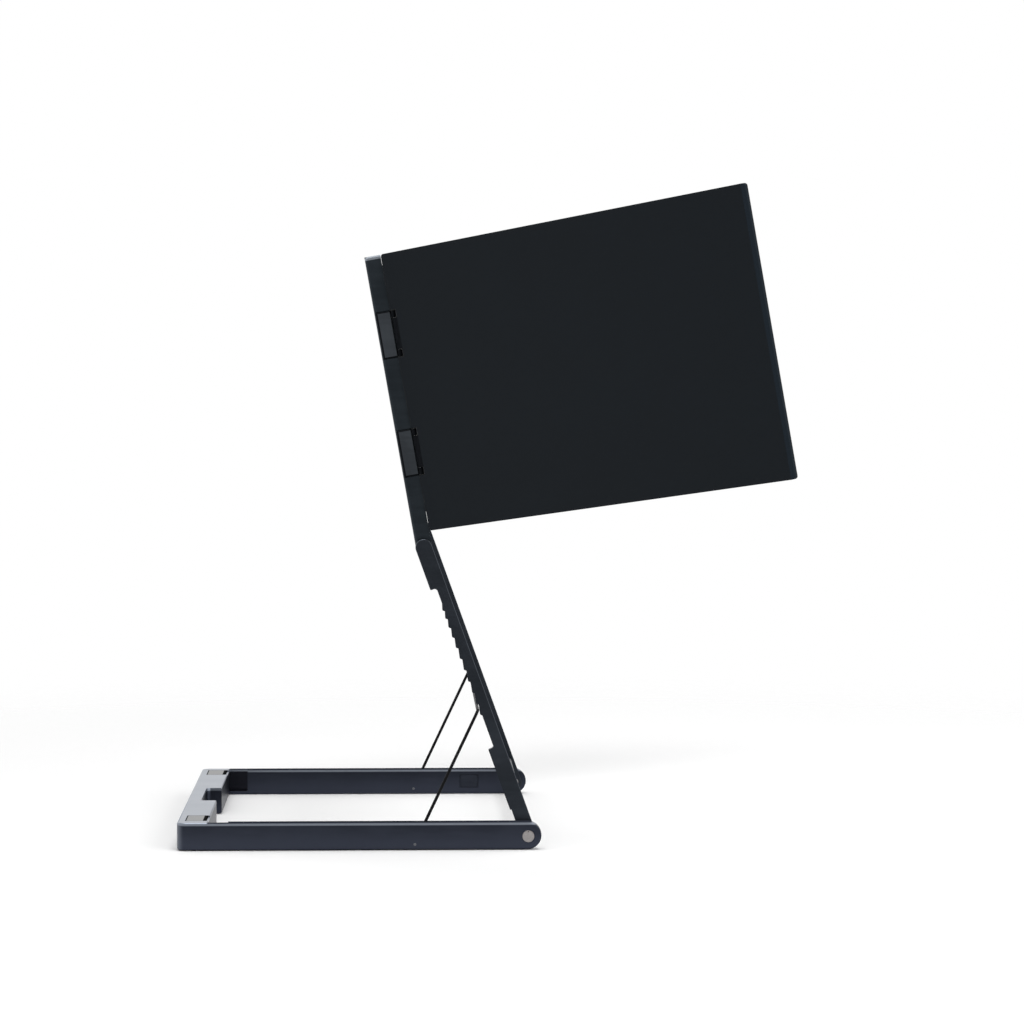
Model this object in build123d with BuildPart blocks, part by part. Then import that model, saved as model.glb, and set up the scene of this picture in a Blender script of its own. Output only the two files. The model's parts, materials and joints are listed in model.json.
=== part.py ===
"""Folding stand with three hinged screens, in millimetres.

The user sits on the -Y side, +X is the user's right and +Z is up. The shapes are laid out from the
main pivot of the stand (Y = 0, on the floor under the pivot). At the end everything is moved so that
the origin lies on the floor under the middle of the whole part.
"""
from build123d import *
import math
import os

os.makedirs("parts", exist_ok=True)

# base frame
frame_back = 303.7
frame_nose = 11.4
frame_top = 24.4
foot_height = 0.6
foot_edge = 0.2
rail_thickness = 10.5
rail_edge_radius = 1.6
rear_corner_radius = 8.0
crossbar_depth = 26.4
finger_notch_width = 93.0
finger_notch_depth = 14.0
finger_notch_radius = 4.0
crossbar_edge = 0.8
tenon_length = 5.0
tenon_width = 14.0
tenon_height = 12.0
tenon_floor = 6.0
pocket_length = 17.8
pocket_depth = 6.5
pocket_floor = 3.5
foot_length = 42.0
foot_width = 5.0
foot_recess = 0.6
foot_front_margin = 3.0
foot_rear_margin = 12.0
pad_length = 36.0
pad_width = 17.0
pad_recess = 1.4
pad_outer_margin = 15.5
pad_front_slot = 2.2
pad_corner = 1.5
catch_length = 17.5
catch_height = 12.0
catch_depth = 1.4
catch_corner = 3.0
catch_behind_pin = 44.0

# main pivot of the stand
pin_height = 11.8
pin_diameter = 8.0
pin_head_diameter = 10.6
pin_head_depth = 1.5
pin_end_cover = 0.6

# wire prop behind the arms
wire_diameter = 2.7
wire_length = 127.5
prop_pivot_behind = 98.1
prop_pivot_height = 5.2
prop_bend_radius = 5.0
prop_pin_diameter = 2.4
prop_eye_diameter = 5.6
prop_leg_seat = 0.4
prop_slot_width = 3.8
prop_slot_lead = 19.0
prop_slot_tail = 6.0
prop_play = 2.65
prop_stand_off = 1.05

# arms of the upright
arm_lean = 19.85
arm_length = 265.4
arm_depth = 14.4
arm_thickness = 6.5
arm_gap = 0.5
arm_edge = 0.5
arm_heel_length = 25.6
arm_heel_relief = 1.1
rack_floor = 1.7
rack_lead = 29.6
rack_tail = 21.2
rack_outer_radius = 0.9
rack_inner_radius = 2.6
rack_last_ramp = 7.2
tooth_depth = 1.8
tooth_rise = 1.4
tooth_tip_radius = 1.2
tooth_root_radius = 0.7
notch_count = 11
notch_step_angle = 4.8
notches_below_rest = 1
brace_diameter = 9.0
brace_tenon_diameter = 6.0
brace_tenon_length = 4.0
brace_along_arm = 22.0
tilt_pin_diameter = 6.0
tilt_pin_in_arm = 5.0
tilt_pin_in_screen = 4.8

# centre screen unit, measured up (u) and forward (n) from the tilt axis
screen_lean = 10.0
side_gap = 0.5
side_rail_width = 6.2
screen_back = 6.8
side_rail_round = 2.6
side_rail_cap = 2.5
left_rail_front = 7.2
right_rail_front = 0.6
centre_bottom = 12.5
cover_wall = 1.3
cover_back = 1.4
tray_inner_corner = 0.5
bezel_thickness = 1.2
bezel_front = 0.5
display_width = 344.7
display_height = 215.4
display_above_bottom = 17.0
centre_bezel_top = 10.4
centre_bezel_side = 8.45
wing_bezel_top = 9.7
wing_bezel_side = 11.65
window_margin = 0.3
panel_flange = 2.6
panel_thickness = 2.0
glass_step = 0.3
board_thickness = 0.8
board_width = 96.0
board_height = 44.0
board_above_bottom = 40.0
board_side_margin = 11.5
chip_size = 14.0
chip_thickness = 0.6
standoff_height = 0.6
standoff_diameter = 4.0
wing_board_width = 16.0
wing_board_height = 70.0
wing_board_from_hinge = 40.0

# wing screens, measured outward and toward the viewer from the hinge axis
wing_swing = 54.0
wing_bottom = 13.3
wing_rail_gap = 0.3
wing_back = 3.8
wing_front = 1.6
wing_corner_radius = 2.5
wing_bevel_width = 3.6
wing_bevel_depth = 1.5
wing_edge_bevel = 0.2
wing_cover_back = 1.2
wing_hinge_wall = 7.9
wing_notch_depth = 5.8

# wing hinges
hinge_from_end = 69.3
hinge_length = 40.0
hinge_radius = 2.5
hinge_pin_diameter = 2.4
hinge_ear_length = 6.0
hinge_neck_reach = 4.1
hinge_axis_out = 0.5
hinge_end_gap = 0.8
hinge_notch_depth = 4.6
hinge_cover_thickness = 1.5
hinge_cover_proud = 0.2
hinge_cover_corner = 0.6
hinge_front_inset = 0.5
hinge_back_margin = 1.2
leaf_thickness = 0.9
leaf_reach = 14.6

# sockets and buttons on the right side rail
socket_wall = 0.4
socket_back = 0.6
socket_tongue_margin = 1.2
socket_tongue_side = 1.7
socket_tongue_thickness = 0.8
socket_corner = 0.5
usb_length = 8.9
usb_height = 3.2
hdmi_length = 11.2
hdmi_height = 3.4
usb_places = (24.0, 37.0)
hdmi_place = 51.0
button_length = 8.0
button_height = 3.0
button_proud = 0.7
button_depth = 3.0
button_flange = 0.8
button_travel = 0.5
button_edge = 0.4
button_pitch = 11.0
button_above_hinge = 9.9

# clearances and small edges
small_edge = 0.3
press_gap = 0.02
running_gap = 0.06
slide_gap = 0.2
cut_extra = 1.0
upright_cosine = 0.99

# places worked out from the sizes above
frame_height = frame_top - foot_height
bezel_half = display_width / 2 + centre_bezel_side
centre_half = bezel_half + side_rail_width
arm_inner = centre_half + side_gap
arm_outer = arm_inner + arm_thickness
rail_inner = arm_outer + arm_gap
rail_outer = rail_inner + rail_thickness
side_rail_top = centre_bottom + display_above_bottom + display_height + centre_bezel_top
wing_width = display_width + 2 * wing_bezel_side
wing_height = display_above_bottom + display_height + wing_bezel_top
wing_bezel_back = wing_front - bezel_thickness
wing_edge = wing_rail_gap - hinge_axis_out
wing_middle = (wing_edge + wing_width / 2, wing_bottom + wing_height / 2)
board_off_middle = bezel_half - cover_wall - board_side_margin - board_width / 2
crossbar_front = frame_back - crossbar_depth
prop_lane = (rail_inner + rail_outer) / 2
pad_middle_x = rail_outer - pad_outer_margin - pad_length / 2
pad_middle_y = crossbar_front + pad_front_slot + pad_width / 2
hinge_heights = [wing_bottom + hinge_from_end, wing_bottom + wing_height - hinge_from_end]
hinge_axis_x = centre_half + hinge_axis_out
hinge_barrel = hinge_length - 2 * hinge_ear_length - 2 * slide_gap
rail_fronts = {-1: left_rail_front, 1: right_rail_front}
socket_lane = (right_rail_front - screen_back) / 2
first_button = hinge_heights[-1] + hinge_length / 2 + button_above_hinge
button_places = [first_button + step * button_pitch for step in range(3)]
button_well = button_depth - button_flange - button_travel
sides = {"left": -1, "right": 1}

arm_plane = Plane((0, 0, pin_height), x_dir=(1, 0, 0),
                  z_dir=(0, -math.cos(math.radians(arm_lean)), math.sin(math.radians(arm_lean))))
tilt_axis = arm_plane.from_local_coords(Vector(0, arm_length, 0))
screen_plane = Plane(tilt_axis, x_dir=(1, 0, 0),
                     z_dir=(0, -math.cos(math.radians(screen_lean)), math.sin(math.radians(screen_lean))))


def hinge_axis_depth(side):
    """How far a wing's hinge axis stands in front of the tilt axis."""
    return rail_fronts[side] + hinge_radius


def wing_plane(side):
    """The wing's own plane: origin on its hinge axis, local Y up, local Z toward the viewer."""
    swing = math.radians(wing_swing)
    origin = Vector(side * hinge_axis_x, 0, hinge_axis_depth(side))
    facing = Vector(-side * math.sin(swing), 0, math.cos(swing))
    world_origin = screen_plane.from_local_coords(origin)
    world_facing = screen_plane.from_local_coords(facing) - screen_plane.origin
    world_up = screen_plane.y_dir
    return Plane(world_origin, x_dir=world_up.cross(world_facing), z_dir=world_facing)


def side_sketch_plane(plane, x):
    """A sketch plane square to X at the given X: local X runs up the given plane, local Y forward."""
    return Plane(plane.from_local_coords(Vector(x, 0, 0)), x_dir=plane.y_dir, z_dir=(1, 0, 0))


def floor_side_plane(x):
    """A sketch plane square to X at the given X: local X is world Y, local Y is world Z."""
    return Plane((x, 0, 0), x_dir=(0, 1, 0), z_dir=(1, 0, 0))


def low_x(side, near, far):
    """The smaller X of a slab that lies between the distances near and far on one side."""
    return near if side > 0 else -far


def make_rail(side):
    """Side rail of the base: round nose, slot for the prop, pocket and socket beside the crossbar."""
    start = low_x(side, rail_inner, rail_outer)
    nose_radius = frame_height / 2
    middle = foot_height + nose_radius
    with BuildPart() as rail:
        with BuildSketch(floor_side_plane(start)):
            with Locations(((frame_back + nose_radius - frame_nose) / 2, middle)):
                Rectangle(frame_back - nose_radius + frame_nose, frame_height)
            with Locations((nose_radius - frame_nose, middle)):
                Circle(nose_radius)
        extrude(amount=rail_thickness)
        upright_edges = rail.edges().filter_by(Axis.Z).group_by(Axis.Y)[-1]
        fillet(upright_edges.sort_by(Axis.X)[-1 if side > 0 else 0], radius=rear_corner_radius)
        rim = [edge for edge in rail.edges()
               if abs(edge.center().X) > rail_inner + cut_extra and not is_upright(edge)]
        fillet(rim, radius=rail_edge_radius)
        with BuildSketch(floor_side_plane(low_x(side, prop_lane - prop_slot_width / 2,
                                                prop_lane + prop_slot_width / 2))):
            with BuildLine():
                slot_floor = prop_pivot_height - prop_eye_diameter / 2 - slide_gap * 2
                wire_floor = prop_pivot_height - wire_diameter / 2 - slide_gap * 2
                eye_half = prop_eye_diameter / 2 + slide_gap * 2
                slot_front = prop_pivot_behind - prop_slot_lead
                slot_back = prop_pivot_behind + wire_length + prop_slot_tail
                Polyline((slot_front, frame_top + cut_extra), (slot_front, frame_height / 2),
                         (prop_pivot_behind - eye_half, slot_floor),
                         (prop_pivot_behind + eye_half, slot_floor),
                         (prop_pivot_behind + 2 * eye_half, wire_floor), (slot_back, wire_floor),
                         (slot_back, frame_top + cut_extra), close=True)
            make_face()
        extrude(amount=prop_slot_width, mode=Mode.SUBTRACT)
        with BuildSketch(floor_side_plane(low_x(side, rail_inner, rail_inner + pocket_depth))):
            with Locations((crossbar_front - pocket_length / 2, (pocket_floor + frame_top + cut_extra) / 2)):
                Rectangle(pocket_length, frame_top + cut_extra - pocket_floor)
        extrude(amount=pocket_depth, mode=Mode.SUBTRACT)
        with BuildSketch(floor_side_plane(low_x(side, rail_inner, rail_inner + tenon_length))):
            with Locations(((crossbar_front + frame_back) / 2, tenon_floor + tenon_height / 2)):
                Rectangle(tenon_width + 2 * press_gap, tenon_height + 2 * press_gap)
        extrude(amount=tenon_length, mode=Mode.SUBTRACT)
        with BuildSketch(floor_side_plane(low_x(side, rail_inner, rail_outer))):
            with Locations((0, pin_height)):
                Circle(pin_diameter / 2 + press_gap)
            with Locations((prop_pivot_behind, prop_pivot_height)):
                Circle(prop_pin_diameter / 2 + press_gap)
        extrude(amount=rail_thickness, mode=Mode.SUBTRACT)
        with BuildSketch(floor_side_plane(low_x(side, rail_outer - pin_head_depth, rail_outer))):
            with Locations((0, pin_height)):
                Circle(pin_head_diameter / 2 + press_gap)
        extrude(amount=pin_head_depth, mode=Mode.SUBTRACT)
        with BuildSketch(floor_side_plane(low_x(side, rail_inner, rail_inner + catch_depth))):
            with Locations((catch_behind_pin, foot_height + frame_height / 2)):
                RectangleRounded(catch_length + 2 * press_gap, catch_height + 2 * press_gap, catch_corner)
        extrude(amount=catch_depth, mode=Mode.SUBTRACT)
        with BuildSketch(Plane.XY.offset(foot_height)):
            with Locations(*foot_places(side)):
                SlotOverall(foot_length + 2 * press_gap, foot_width + 2 * press_gap, rotation=90)
        extrude(amount=foot_recess, mode=Mode.SUBTRACT)
    return rail


def is_upright(edge):
    """True for an edge that runs straight up."""
    return edge.geom_type == GeomType.LINE and abs(edge.tangent_at(0.5).Z) > upright_cosine


def foot_places(side):
    """Middles of the two rubber feet under a rail, as X and Y."""
    front = foot_length / 2 + foot_front_margin
    back = frame_back - foot_length / 2 - foot_rear_margin
    return [(side * prop_lane, front), (side * prop_lane, back)]


def make_foot(place):
    """Rubber foot let into the underside of a rail."""
    with BuildPart() as foot:
        with BuildSketch():
            with Locations(place):
                SlotOverall(foot_length, foot_width, rotation=90)
        extrude(amount=foot_height + foot_recess)
        fillet(foot.edges().group_by(Axis.Z)[0], radius=foot_edge)
    return foot


def make_crossbar():
    """Rear crossbar between the rails, with tenons, a finger notch and two pad recesses."""
    middle = (crossbar_front + frame_back) / 2
    with BuildPart() as bar:
        with BuildSketch(Plane.XY.offset(foot_height)):
            with Locations((0, middle)):
                Rectangle(2 * rail_inner, crossbar_depth)
        extrude(amount=frame_height)
        rear_edges = bar.edges().filter_by(Axis.X).group_by(Axis.Y)[-1]
        fillet(rear_edges, radius=rail_edge_radius)
        with BuildSketch(Plane.XY.offset(foot_height)):
            with Locations((0, crossbar_front)):
                RectangleRounded(finger_notch_width, 2 * finger_notch_depth, finger_notch_radius)
        extrude(amount=frame_height, mode=Mode.SUBTRACT)
        front_edges = bar.edges().filter_by(Axis.X).group_by(Axis.Y)[0]
        chamfer(front_edges, length=crossbar_edge)
        with BuildSketch(Plane.XY.offset(tenon_floor)):
            with Locations((0, middle)):
                Rectangle(2 * (rail_inner + tenon_length), tenon_width)
                Rectangle(2 * rail_inner - 2 * cut_extra, tenon_width, mode=Mode.SUBTRACT)
        extrude(amount=tenon_height)
        with BuildSketch(Plane.XY.offset(frame_top - pad_recess)):
            with Locations((-pad_middle_x, pad_middle_y - pad_front_slot / 2),
                           (pad_middle_x, pad_middle_y - pad_front_slot / 2)):
                Rectangle(pad_length + 2 * press_gap, pad_width + pad_front_slot)
        extrude(amount=pad_recess + cut_extra, mode=Mode.SUBTRACT)
    return bar


def make_pad(side):
    """Soft pad under the folded screens, let into the top of the crossbar."""
    with BuildPart() as pad:
        with BuildSketch(Plane.XY.offset(frame_top - pad_recess)):
            with Locations((side * pad_middle_x, pad_middle_y)):
                RectangleRounded(pad_length, pad_width - press_gap, pad_corner)
        extrude(amount=pad_recess)
        chamfer(pad.edges().group_by(Axis.Z)[-1], length=small_edge)
    return pad


def make_catch(side):
    """Rounded inset on the inner face of a rail that steadies the folded screens."""
    with BuildPart() as catch:
        with BuildSketch(floor_side_plane(low_x(side, rail_inner, rail_inner + catch_depth))):
            with Locations((catch_behind_pin, foot_height + frame_height / 2)):
                RectangleRounded(catch_length, catch_height, catch_corner)
        extrude(amount=catch_depth)
        inward = catch.faces().sort_by(Axis.X)[0 if side > 0 else -1]
        chamfer(inward.edges(), length=small_edge)
    return catch


def make_main_pin(side):
    """Pivot pin of an arm: flush head in the rail's outer face and a shank that ends in the arm."""
    shank_end = arm_inner + pin_end_cover
    with BuildPart() as pin:
        with BuildSketch(floor_side_plane(low_x(side, shank_end, rail_outer - pin_head_depth))):
            with Locations((0, pin_height)):
                Circle(pin_diameter / 2)
        extrude(amount=rail_outer - pin_head_depth - shank_end)
        with BuildSketch(floor_side_plane(low_x(side, rail_outer - pin_head_depth, rail_outer))):
            with Locations((0, pin_height)):
                Circle(pin_head_diameter / 2)
        extrude(amount=pin_head_depth)
        outward = pin.faces().sort_by(Axis.X)[-1 if side > 0 else 0]
        chamfer(outward.edges(), length=small_edge)
    return pin


def make_prop_pin(side):
    """Thin pin across a rail that carries one foot of the wire prop."""
    with BuildPart() as pin:
        with BuildSketch(floor_side_plane(low_x(side, rail_inner, rail_outer))):
            with Locations((prop_pivot_behind, prop_pivot_height)):
                Circle(prop_pin_diameter / 2)
        extrude(amount=rail_thickness)
    return pin


def arm_frame_of(point):
    """A floor-frame point (Y, Z) as distances along the arm and forward of its middle line."""
    lean = math.radians(arm_lean)
    back, up = point[0], point[1] - pin_height
    return back * math.sin(lean) + up * math.cos(lean), up * math.sin(lean) - back * math.cos(lean)


def wire_behind_arm():
    """Distance of the wire behind the arm's middle line where it stands in a notch."""
    return rack_floor + wire_diameter / 2 + prop_stand_off


def rack_seat(arm_angle):
    """Distance along the arm at which the wire stands when the arm is at this angle to the floor."""
    angle = math.radians(arm_angle)
    drop = prop_pivot_height - pin_height
    along = prop_pivot_behind * math.cos(angle) + drop * math.sin(angle)
    behind = drop * math.cos(angle) - prop_pivot_behind * math.sin(angle)
    reach = -wire_behind_arm() - behind
    return along + math.sqrt(wire_length ** 2 - reach ** 2)


def rest_prop_angle():
    """Angle of the prop to the floor at rest, with the wire standing in its notch."""
    along_pivot, forward_pivot = arm_frame_of((prop_pivot_behind, prop_pivot_height))
    reach = -wire_behind_arm() - forward_pivot
    return 180 - arm_lean - math.degrees(math.acos(reach / wire_length))


def rack_roots():
    """Distances along the arm of the notches' ledges, each a little above where the wire stands."""
    angles = [90 - arm_lean + notch_step_angle * (notches_below_rest - step)
              for step in range(notch_count)]
    return sorted(rack_seat(angle) + wire_diameter / 2 + prop_play for angle in angles)


def rack_outline(roots):
    """Cut behind the arm's middle, whose inner edge is the row of notches."""
    outside = arm_depth / 2 + cut_extra
    start, end = roots[0] - rack_lead, roots[-1] + rack_tail
    points = [(start, -outside), (start, -rack_floor)]
    for root in roots:
        points += [(root, -rack_floor), (root + tooth_rise, -rack_floor - tooth_depth)]
    points += [(roots[-1] + rack_last_ramp, -rack_floor), (end, -rack_floor), (end, -outside)]
    return points


def make_arm(side):
    """Upright arm with round ends, a rack of notches behind and blind bores for its pins."""
    start = low_x(side, arm_inner, arm_outer)
    roots = rack_roots()
    rack_ends = (roots[0] - rack_lead, roots[-1] + rack_tail)
    with BuildPart() as arm:
        with BuildSketch(side_sketch_plane(arm_plane, start)) as profile:
            with Locations((arm_length / 2, 0)):
                SlotOverall(arm_length + arm_depth, arm_depth)
            with BuildLine():
                Polyline(*rack_outline(roots), close=True)
            make_face(mode=Mode.SUBTRACT)
            with Locations((arm_heel_length / 2 - arm_depth / 2, -arm_depth / 2)):
                Rectangle(arm_heel_length + arm_depth, 2 * arm_heel_relief, mode=Mode.SUBTRACT)
            tips = [corner for corner in profile.vertices()
                    if abs(corner.Y + rack_floor + tooth_depth) < press_gap]
            fillet(tips, radius=tooth_tip_radius)
            ledges = [corner for corner in profile.vertices()
                      if abs(corner.Y + rack_floor) < press_gap
                      and min(abs(corner.X - root) for root in roots) < press_gap]
            fillet(ledges, radius=tooth_root_radius)
            inner = [corner for corner in profile.vertices()
                     if min(abs(corner.X - place) for place in rack_ends) < press_gap
                     and abs(corner.Y + rack_floor) < press_gap]
            fillet(inner, radius=rack_inner_radius)
            outer = [corner for corner in profile.vertices()
                     if min(abs(corner.X - place) for place in rack_ends) < press_gap
                     and corner.Y < -arm_depth / 2 + press_gap]
            fillet(outer, radius=rack_outer_radius)
        extrude(amount=arm_thickness)
        long_edges = [edge for edge in arm.edges() if edge.length > arm_length / 2]
        chamfer(long_edges, length=arm_edge)
        with BuildSketch(side_sketch_plane(arm_plane, start)):
            Circle(pin_diameter / 2 + running_gap)
        extrude(amount=arm_thickness, mode=Mode.SUBTRACT)
        with BuildSketch(side_sketch_plane(arm_plane, low_x(side, arm_inner, arm_inner + tilt_pin_in_arm))):
            with Locations((arm_length, 0)):
                Circle(tilt_pin_diameter / 2 + press_gap)
        extrude(amount=tilt_pin_in_arm, mode=Mode.SUBTRACT)
        with BuildSketch(side_sketch_plane(arm_plane, low_x(side, arm_inner,
                                                            arm_inner + brace_tenon_length))):
            with Locations((brace_along_arm, 0)):
                Circle(brace_tenon_diameter / 2 + press_gap)
        extrude(amount=brace_tenon_length, mode=Mode.SUBTRACT)
    return arm


def make_brace():
    """Round bar that ties the two arms together just above the main pivot."""
    with BuildPart() as brace:
        with BuildSketch(side_sketch_plane(arm_plane, -arm_inner)):
            with Locations((brace_along_arm, 0)):
                Circle(brace_diameter / 2)
        extrude(amount=2 * arm_inner)
        with BuildSketch(side_sketch_plane(arm_plane, -arm_inner - brace_tenon_length)):
            with Locations((brace_along_arm, 0)):
                Circle(brace_tenon_diameter / 2)
        extrude(amount=2 * (arm_inner + brace_tenon_length))
    return brace


def make_tilt_pin(side):
    """Pin at the top of an arm on which the centre screen tilts."""
    near = centre_half - tilt_pin_in_screen
    with BuildPart() as pin:
        with BuildSketch(side_sketch_plane(arm_plane, low_x(side, near, arm_inner + tilt_pin_in_arm))):
            with Locations((arm_length, 0)):
                Circle(tilt_pin_diameter / 2)
        extrude(amount=arm_inner + tilt_pin_in_arm - near)
    return pin


def prop_plane():
    """The prop's own plane at rest: origin midway between its feet, local Y up along its legs."""
    angle = math.radians(rest_prop_angle())
    up = Vector(0, math.cos(angle), math.sin(angle))
    return Plane((0, prop_pivot_behind, prop_pivot_height), x_dir=(1, 0, 0), z_dir=Vector(1, 0, 0).cross(up))


def make_prop_wire():
    """Bent wire of the prop: two legs and the crosspiece that rests behind the arms."""
    plane = prop_plane()
    leg_start = prop_eye_diameter / 2 - prop_leg_seat
    with BuildPart() as wire:
        with BuildLine(plane) as path:
            FilletPolyline((-prop_lane, leg_start), (-prop_lane, wire_length), (prop_lane, wire_length),
                           (prop_lane, leg_start), radius=prop_bend_radius)
        with BuildSketch(Plane(path.line @ 0, z_dir=path.line % 0)):
            Circle(wire_diameter / 2)
        sweep()
        for side in (-1, 1):
            with BuildSketch(side_sketch_plane(plane, side * prop_lane - prop_slot_width / 2)):
                Circle(prop_eye_diameter / 2 + press_gap)
            extrude(amount=prop_slot_width, mode=Mode.SUBTRACT)
    return wire


def make_prop_eye(side):
    """Eye crimped to the end of the wire, turning on the prop's pin."""
    width = prop_slot_width - 2 * slide_gap
    with BuildPart() as eye:
        with BuildSketch(side_sketch_plane(prop_plane(), side * prop_lane - width / 2)):
            Circle(prop_eye_diameter / 2)
            Circle(prop_pin_diameter / 2 + running_gap, mode=Mode.SUBTRACT)
        extrude(amount=width)
    return eye


def make_side_rail(side):
    """Side member of the centre unit: it carries the tilt bore below and the wing hinges."""
    start = low_x(side, bezel_half, centre_half)
    front = rail_fronts[side]
    foot_radius = left_rail_front
    with BuildPart() as rail:
        with BuildSketch(side_sketch_plane(screen_plane, start)):
            with Locations((side_rail_top / 2, (front - screen_back) / 2)):
                Rectangle(side_rail_top, front + screen_back)
            Circle(foot_radius)
        extrude(amount=side_rail_width)
        outer = rail.faces().sort_by(Axis.X)[-1 if side > 0 else 0]
        long_edges = [edge for edge in outer.edges() if edge.length > side_rail_top / 2]
        back_edge = sorted(long_edges, key=lambda edge: -edge.center().Y)[0]
        fillet(back_edge, radius=side_rail_round)
        top = rail.faces().sort_by(Axis.Z)[-1]
        top_edge = [edge for edge in top.edges() if abs(edge.center().X) > centre_half - press_gap]
        chamfer(top_edge, length=side_rail_cap, length2=side_rail_cap / 2)
        with BuildSketch(side_sketch_plane(screen_plane, low_x(side, centre_half - tilt_pin_in_screen,
                                                               centre_half))):
            Circle(tilt_pin_diameter / 2 + running_gap)
        extrude(amount=tilt_pin_in_screen, mode=Mode.SUBTRACT)
        with BuildSketch(side_sketch_plane(screen_plane, low_x(side, centre_half - hinge_notch_depth,
                                                               centre_half))):
            for height in hinge_heights:
                with Locations((height, (front + cut_extra - screen_back + hinge_back_margin) / 2)):
                    Rectangle(hinge_length + 2 * hinge_end_gap,
                              front + cut_extra + screen_back - hinge_back_margin)
        extrude(amount=hinge_notch_depth, mode=Mode.SUBTRACT)
        if side > 0:
            with BuildSketch(side_sketch_plane(screen_plane, bezel_half)):
                with Locations(*[(place, socket_lane) for place in usb_places]):
                    SlotOverall(usb_length + 2 * press_gap, usb_height + 2 * press_gap)
                with Locations((hdmi_place, socket_lane)):
                    Rectangle(hdmi_length + 2 * press_gap, hdmi_height + 2 * press_gap)
                with Locations(*[(place, socket_lane) for place in button_places]):
                    SlotOverall(button_length + 2 * slide_gap, button_height + 2 * slide_gap)
            extrude(amount=side_rail_width, mode=Mode.SUBTRACT)
            with BuildSketch(side_sketch_plane(screen_plane, bezel_half)):
                with Locations(*[(place, socket_lane) for place in button_places]):
                    SlotOverall(button_length + 2 * button_flange + 2 * slide_gap,
                                button_height + 2 * button_flange + 2 * slide_gap)
            extrude(amount=side_rail_width - button_well, mode=Mode.SUBTRACT)
    return rail


def make_socket(place, length, height, rounded):
    """Hollow metal socket in the right side rail, open to the side."""
    with BuildPart() as socket:
        for extra, start in ((0, bezel_half), (socket_wall, bezel_half + socket_back)):
            with BuildSketch(side_sketch_plane(screen_plane, start)):
                with Locations((place, socket_lane)):
                    if rounded:
                        SlotOverall(length - 2 * extra, height - 2 * extra)
                    else:
                        RectangleRounded(length - 2 * extra, height - 2 * extra, socket_corner)
            mode = Mode.SUBTRACT if extra else Mode.ADD
            extrude(amount=centre_half - start, mode=mode)
        with BuildSketch(side_sketch_plane(screen_plane, bezel_half)):
            with Locations((place, socket_lane)):
                Rectangle(length - 2 * socket_tongue_side, socket_tongue_thickness)
        extrude(amount=side_rail_width - socket_tongue_margin)
    return socket


def make_button(place):
    """Push button cap with a flange that keeps it in its well."""
    outer = centre_half + button_proud
    flange_top = centre_half - button_well - slide_gap / 2
    with BuildPart() as button:
        with BuildSketch(side_sketch_plane(screen_plane, flange_top - button_flange)):
            with Locations((place, socket_lane)):
                SlotOverall(button_length, button_height)
        extrude(amount=outer - flange_top + button_flange)
        with BuildSketch(side_sketch_plane(screen_plane, flange_top - button_flange)):
            with Locations((place, socket_lane)):
                SlotOverall(button_length + 2 * button_flange - slide_gap,
                            button_height + 2 * button_flange - slide_gap)
        extrude(amount=button_flange)
        fillet(button.faces().sort_by(Axis.X)[-1].edges(), radius=button_edge)
    return button


def make_tray(plane, middle, width, height, back, wall, floor, front, corner):
    """Open-fronted shell of a screen: a floor with four walls, between two depths of its plane."""
    with BuildPart() as tray:
        with BuildSketch(plane.offset(back)):
            with Locations(middle):
                rounded_rectangle(width, height, corner)
        extrude(amount=front - back)
        with BuildSketch(plane.offset(back + floor)):
            with Locations(middle):
                rounded_rectangle(width - 2 * wall, height - 2 * wall, max(corner - wall, tray_inner_corner))
        extrude(amount=front - back - floor, mode=Mode.SUBTRACT)
    return tray


def rounded_rectangle(width, height, corner):
    """Rectangle in the active sketch, with round corners where the radius isn't nil."""
    if corner > 0:
        RectangleRounded(width, height, corner)
    else:
        Rectangle(width, height)


def make_bezel(plane, middle, width, height, window, back, front, corner):
    """Thin frame round the display window."""
    with BuildPart() as bezel:
        with BuildSketch(plane.offset(back)):
            with Locations(middle):
                rounded_rectangle(width, height, corner)
            with Locations(window):
                Rectangle(display_width + 2 * window_margin, display_height + 2 * window_margin,
                          mode=Mode.SUBTRACT)
        extrude(amount=front - back)
    return bezel


def make_panel(plane, window, flange_back, bezel_back, glass_front):
    """Display panel: a flange behind the bezel and the glass that fills the window."""
    with BuildPart() as panel:
        with BuildSketch(plane.offset(flange_back)):
            with Locations(window):
                Rectangle(display_width + 2 * panel_flange, display_height + 2 * panel_flange)
        extrude(amount=bezel_back - flange_back)
        with BuildSketch(plane.offset(bezel_back)):
            with Locations(window):
                Rectangle(display_width + window_margin, display_height + window_margin)
        extrude(amount=glass_front - bezel_back)
    return panel


def make_hinge_cover(side, height):
    """Plate over a wing hinge, nearly flush with the outer face of the side rail."""
    front = rail_fronts[side] - hinge_front_inset
    back = -screen_back + hinge_back_margin + slide_gap
    outer = centre_half + hinge_cover_proud
    start = low_x(side, outer - hinge_cover_thickness, outer)
    with BuildPart() as cover:
        with BuildSketch(side_sketch_plane(screen_plane, start)):
            with Locations((height, (front + back) / 2)):
                RectangleRounded(hinge_length, front - back, hinge_cover_corner)
        extrude(amount=hinge_cover_thickness)
        outward = cover.faces().sort_by(Axis.X)[-1 if side > 0 else 0]
        chamfer(outward.edges(), length=small_edge)
    return cover


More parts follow.
